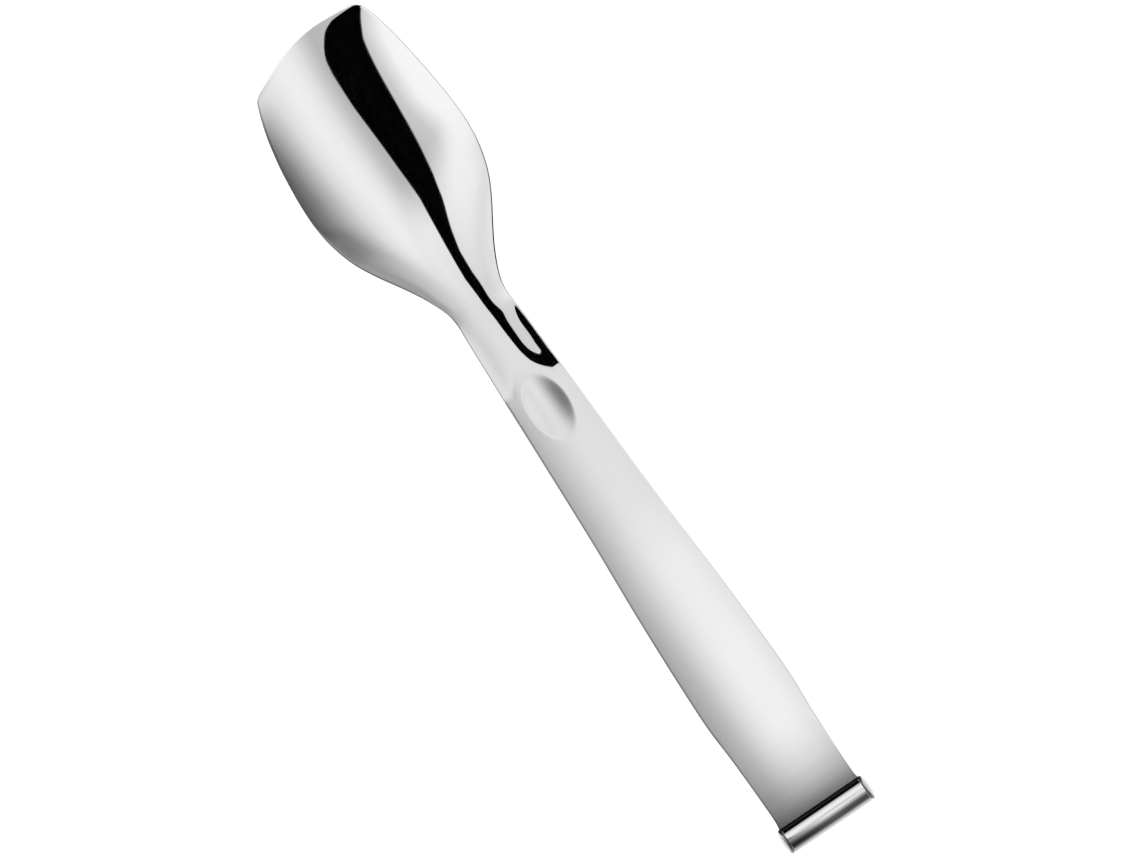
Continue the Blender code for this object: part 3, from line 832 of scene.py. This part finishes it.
def scrim_light(graph, along, right):
    """Light that the scrim lets through: five bands along the tongs, less the black flag."""
    light = graph.through(HANDLE_LIGHT, right)
    share = graph.between(along, *HANDLE_TO_HOLLOW)
    light = graph.blend(share, light, graph.through(HOLLOW_LIGHT, right))
    share = graph.between(along, *HOLLOW_TO_NECK)
    light = graph.blend(share, light, graph.through(NECK_LIGHT, right))
    share = graph.between(along, *NECK_TO_SHOULDER)
    light = graph.blend(share, light, graph.through(SHOULDER_LIGHT, right))
    lead = graph.times(graph.minus(1.0, graph.between(right, *JAW_LEAD_SIDE)), JAW_LEAD)
    share = graph.between(graph.math("ADD", along, lead), *SHOULDER_TO_JAW)
    reach = graph.through(JAW_REACH_RIGHT, along)
    rightward = graph.times(graph.math("MAXIMUM", right, 0.0), reach)
    reach = graph.through(JAW_REACH_LEFT, along)
    leftward = graph.times(graph.math("MINIMUM", right, 0.0), reach)
    drawn = graph.math("ADD", rightward, leftward)
    light = graph.blend(share, light, graph.through(JAW_LIGHT, drawn))
    light = graph.times(light, graph.through(LIGHT_ALONG, along))
    inside = graph.minus(right, graph.through(FLAG_LEFT, along))
    flag = graph.between(inside, *FLAG_LEFT_FADE)
    inside = graph.minus(graph.through(FLAG_RIGHT, along), right)
    flag = graph.times(flag, graph.between(inside, *FLAG_RIGHT_FADE))
    flag = graph.times(flag, graph.between(along, *FLAG_FADE_IN))
    flag = graph.times(flag, graph.between(along, *FLAG_FADE_OUT))
    return graph.times(light, graph.minus(1.0, flag))


def front_card_glow(graph, _side, over):
    return graph.through(FRONT_CARD_GLOW, over)


def rear_card_light(graph, _side, over):
    return graph.through(REAR_CARD_LIGHT, over)


def strip_light(graph, along, over):
    top = graph.through(STRIP_TOP, along)
    return graph.between(graph.minus(over, top), *STRIP_FADE)


def skirt_light(graph, along, _over):
    return graph.blend(graph.between(along, *SKIRT_RISE), 1.0, SKIRT_LIGHT)


def make_cards():
    """Places the scrim, the barrel's two cards, the strip and the skirts."""
    lying = Matrix((AHEAD, ASIDE, OVER)).transposed().to_4x4()
    facing_rear = Matrix((ASIDE, OVER, -AHEAD)).transposed().to_4x4()
    facing_side = Matrix((AHEAD, OVER, ASIDE)).transposed().to_4x4()
    place = Matrix.Translation(HINGE + SCRIM_HEIGHT * OVER) @ lying
    card("scrim", SCRIM_LOW, SCRIM_HIGH, place, scrim_light)
    place = Matrix.Translation(HINGE + FRONT_CARD_X * MM * AHEAD) @ facing_rear
    low = (-FRONT_CARD_REACH, FRONT_CARD_GLOW[0][0])
    high = (FRONT_CARD_REACH, FRONT_CARD_GLOW[-1][0])
    card("front_card", low, high, place, front_card_glow, glowing=True)
    place = Matrix.Translation(HINGE + REAR_CARD_X * MM * AHEAD) @ facing_rear
    low = (-REAR_CARD_REACH, REAR_CARD_LIGHT[0][0])
    high = (REAR_CARD_REACH, REAR_CARD_LIGHT[-1][0])
    card("rear_card", low, high, place, rear_card_light)
    place = Matrix.Translation(HINGE + STRIP_SIDE * MM * ASIDE) @ facing_side
    card("strip", STRIP_LOW, STRIP_HIGH, place, strip_light)
    low = (SKIRT_RISE[0], SKIRT_BOTTOM)
    high = (SKIRT_END, SKIRT_TOP)
    for name, side in (("skirt_left", -SKIRT_SIDE), ("skirt_right", SKIRT_SIDE)):
        place = Matrix.Translation(HINGE + side * MM * ASIDE) @ facing_side
        card(name, low, high, place, skirt_light)


# Camera and the point it looks at, in metres from the hinge along AHEAD, OVER and ASIDE
CAMERA_STAND = (165.0 * MM, 2.5, 0.0)
CAMERA_AIM = (111.6 * MM, 11.5 * MM, 1.35 * MM)
CAMERA_LEAN = math.radians(55.8)
SENSOR_WIDTH = 36.0
LENS = 329.6
CLIP_RANGE = (0.1, 20.0)


def from_hinge(ahead, over, aside):
    return HINGE + ahead * AHEAD + over * OVER + aside * ASIDE


def make_camera():
    """Long lens nearly square on the plane halfway between the open arms, jaws to the upper left."""
    stand = from_hinge(*CAMERA_STAND)
    aim = from_hinge(*CAMERA_AIM)
    data = bpy.data.cameras.new("camera")
    data.sensor_width = SENSOR_WIDTH
    data.lens = LENS
    data.clip_start, data.clip_end = CLIP_RANGE
    camera = bpy.data.objects.new("camera", data)
    bpy.context.scene.collection.objects.link(camera)
    back = (stand - aim).normalized()
    ahead = (AHEAD - back * AHEAD.dot(back)).normalized()
    side = ahead.cross(back)
    right = side * math.sin(CAMERA_LEAN) - ahead * math.cos(CAMERA_LEAN)
    over = back.cross(right)
    turn = Matrix((right, over, back)).transposed().to_4x4()
    camera.matrix_world = Matrix.Translation(stand) @ turn
    bpy.context.scene.camera = camera


def dress(obj, finishes, body, slot, *nodes):
    """Moves the placement into the mesh, gives it its finishes, ties it to the body and hides the
    nodes; slot is not used.
    """
    obj.data.transform(obj.matrix_world)
    obj.matrix_world = Matrix.Identity(4)
    last = len(finishes) - 1
    places = [min(polygon.material_index, last) for polygon in obj.data.polygons]
    obj.data.materials.clear()
    for finish in finishes:
        obj.data.materials.append(finish)
    obj.data.polygons.foreach_set("material_index", places)
    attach(obj, body)
    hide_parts(*nodes)


def main():
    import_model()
    made = {name: steel(name, *values) for name, values in FINISHES.items()}
    # Second finish of the pressings: painted shade in their joint with the barrel
    pressed = [made["polished_steel"], made["painted_joint_shade"]]
    # Second finish of the caps: painted shade in their seats
    domed = [made["satin_steel"], made["painted_seat_shade"]]
    turned = [made["turned_steel"]]
    upper_arm = put(arm_mesh("upper_pressing", 1), "upper_pressing", UPPER)
    dress(upper_arm, pressed, "upper", "polished_steel", "upper_arm")
    lower_arm = put(arm_mesh("lower_pressing", -1), "lower_pressing", LOWER)
    dress(lower_arm, pressed, "lower", "polished_steel", "lower_arm")
    dress(make_barrel(), pressed[:1], "upper", "polished_steel", "hinge_barrel")
    dress(make_cap("cap_dome_left", 1), domed, "upper", "polished_steel", "end_cap_left")
    dress(make_cap("cap_dome_right", -1), domed, "upper", "polished_steel", "end_cap_right")
    left = make_knuckle("knuckle_sleeve_left", 1)
    dress(left, turned, "lower", "hinge_steel", "knuckle_left")
    right = make_knuckle("knuckle_sleeve_right", -1)
    dress(right, turned, "lower", "hinge_steel", "knuckle_right")
    pin_length = BARREL_LENGTH + 2 * (SEAT_GAP + CAP_BORE_DEPTH - PIN_END_GAP)
    pin = finish_solid(cylinder("pin_rod", PIN_RADIUS, pin_length, UPPER), [], PIN_EDGE_BREAK)
    dress(pin, turned, "upper", "hinge_steel", "hinge_pin")
    dress(make_spring(), [made["drawn_wire"]], "lower", "spring_steel", "torsion_spring")
    make_floor()
    make_world()
    make_cards()
    make_camera()
    bpy.context.scene.view_settings.view_transform = "Standard"


main()
